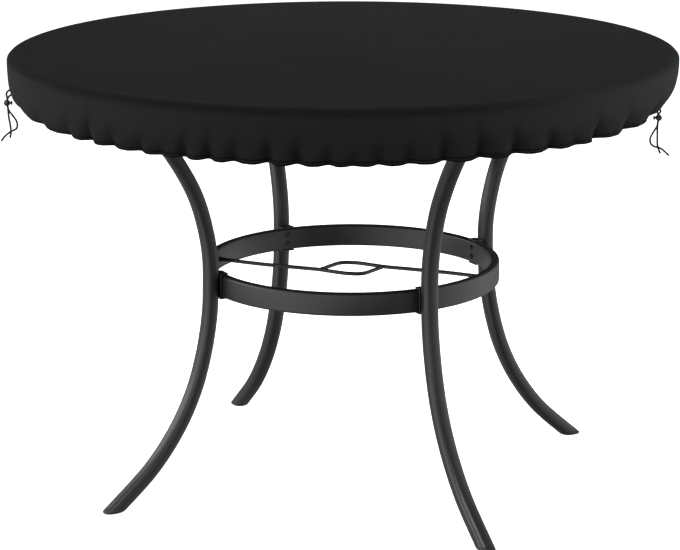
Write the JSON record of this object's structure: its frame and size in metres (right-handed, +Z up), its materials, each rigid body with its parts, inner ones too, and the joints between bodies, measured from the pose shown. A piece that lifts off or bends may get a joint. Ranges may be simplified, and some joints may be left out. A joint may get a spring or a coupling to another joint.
{
  "type": "round patio table with a fitted drawstring cover",
  "caption": "Fitted round cloth cover with a drawstring hem and cord locks, drawn in over a round patio table with curved tube legs, a hoop stretcher and a bent-rod brace.",
  "frame": {"origin": "on the floor, under the centre of the table", "axes": "+Z up; -Y is the side that faces the viewer, with a drawstring lock at the left (-X) and one at the right (+X)"},
  "size_m": [1.0763, 1.0671, 0.7139],
  "materials": {
    "cloth": "matte coated black cloth",
    "cord": "matte black braid",
    "lock_plastic": "satin black plastic",
    "frame_metal": "satin black powder coat",
    "tabletop": "satin black powder coat",
    "foot_plastic": "matte black plastic",
    "bolt_steel": "satin black"
  },
  "bodies": {
    "root": {"cover_top": "cloth", "cover_skirt": "cloth", "drawstring_left_straight": "cord", "drawstring_left_curved": "cord", "drawstring_right_straight": "cord", "drawstring_right_curved": "cord", "lock_body_left": "lock_plastic", "lock_button_left": "lock_plastic", "lock_body_right": "lock_plastic", "lock_button_right": "lock_plastic", "table_top": "tabletop", "leg_front_right": "frame_metal", "leg_back_right": "frame_metal", "leg_back_left": "frame_metal", "leg_front_left": "frame_metal", "flange_front_right": "frame_metal", "flange_back_right": "frame_metal", "flange_back_left": "frame_metal", "flange_front_left": "frame_metal", "foot_front_right": "foot_plastic", "foot_back_right": "foot_plastic", "foot_back_left": "foot_plastic", "foot_front_left": "foot_plastic", "ring_hoop": "frame_metal", "saddle_front_right": "frame_metal", "saddle_back_right": "frame_metal", "saddle_back_left": "frame_metal", "saddle_front_left": "frame_metal", "bolt_front_right_upper": "bolt_steel", "bolt_front_right_lower": "bolt_steel", "bolt_back_right_upper": "bolt_steel", "bolt_back_right_lower": "bolt_steel", "bolt_back_left_upper": "bolt_steel", "bolt_back_left_lower": "bolt_steel", "bolt_front_left_upper": "bolt_steel", "bolt_front_left_lower": "bolt_steel", "brace_rod_a": "frame_metal", "brace_rod_b": "frame_metal"}
  },
  "joints": []
}
